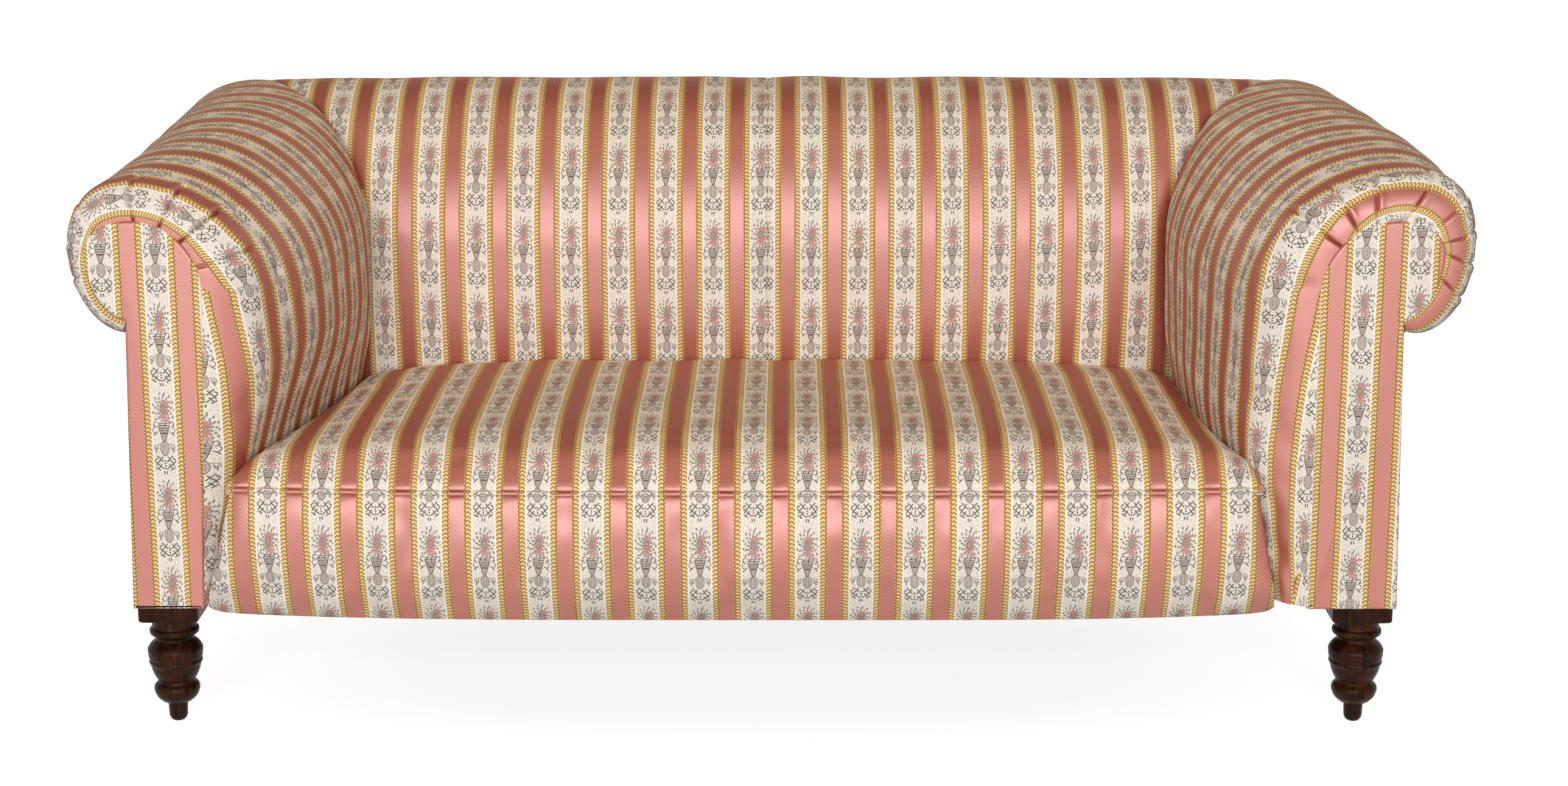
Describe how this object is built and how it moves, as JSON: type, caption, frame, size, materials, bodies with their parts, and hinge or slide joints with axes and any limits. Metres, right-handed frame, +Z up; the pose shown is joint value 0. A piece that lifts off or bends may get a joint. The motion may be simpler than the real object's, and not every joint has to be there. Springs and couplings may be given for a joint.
{
  "type": "chesterfield sofa",
  "caption": "Low-backed upholstered sofa with rolled arms and back, pleated scroll fronts, a sprung seat and turned front legs, covered in a woven satin stripe; it seats people side by side.",
  "frame": {"origin": "on the floor under the middle of the sofa's box", "axes": "+X to the sofa's right as seen from the front, +Y from the front to the back, +Z up"},
  "size_m": [1.791, 0.8598, 0.771],
  "materials": {
    "mahogany": "dark French-polished mahogany",
    "frame_timber": "planed beech; the swept back legs are stained dark",
    "striped_cloth": "woven satin stripe in pink, gold and cream with a small urn and flower pattern",
    "stuffing": "stitched horsehair and wadding",
    "hessian": "plain jute weave",
    "webbing": "herringbone jute webbing",
    "spring_steel": "copper-washed spring wire",
    "dust_cloth": "black cotton"
  },
  "bodies": {
    "root": {"left_front_leg": "mahogany", "right_front_leg": "mahogany", "front_seat_rail": "frame_timber", "back_seat_rail": "frame_timber", "left_seat_rail": "frame_timber", "right_seat_rail": "frame_timber", "back_stuffing_rail": "frame_timber", "left_arm_stuffing_rail": "frame_timber", "right_arm_stuffing_rail": "frame_timber", "crest_rail": "frame_timber", "left_arm_rail": "frame_timber", "right_arm_rail": "frame_timber", "back_centre_upright": "frame_timber", "left_front_post": "frame_timber", "right_front_post": "frame_timber", "left_back_stile": "frame_timber", "right_back_stile": "frame_timber", "left_scroll_board": "frame_timber", "right_scroll_board": "frame_timber", "left_front_corner_block": "frame_timber", "right_front_corner_block": "frame_timber", "left_back_corner_block": "frame_timber", "right_back_corner_block": "frame_timber", "seat_cover": "striped_cloth", "front_border_cover": "striped_cloth", "seat_welt": "striped_cloth", "left_inside_arm_cover": "striped_cloth", "right_inside_arm_cover": "striped_cloth", "left_inside_back_cover": "striped_cloth", "right_inside_back_cover": "striped_cloth", "left_arm_facing": "striped_cloth", "right_arm_facing": "striped_cloth", "left_outside_arm_cover": "striped_cloth", "right_outside_arm_cover": "striped_cloth", "outside_back_cover": "striped_cloth", "seat_stuffing": "stuffing", "front_border_stuffing": "stuffing", "back_stuffing": "stuffing", "left_arm_stuffing": "stuffing", "right_arm_stuffing": "stuffing", "seat_canvas": "hessian", "back_canvas": "hessian", "left_arm_canvas": "hessian", "right_arm_canvas": "hessian", "seat_webbing": "webbing", "seat_spring_01": "spring_steel", "seat_spring_02": "spring_steel", "seat_spring_03": "spring_steel", "seat_spring_04": "spring_steel", "seat_spring_05": "spring_steel", "seat_spring_06": "spring_steel", "seat_spring_07": "spring_steel", "seat_spring_08": "spring_steel", "seat_spring_09": "spring_steel", "seat_spring_10": "spring_steel", "dust_cover": "dust_cloth"}
  },
  "joints": []
}
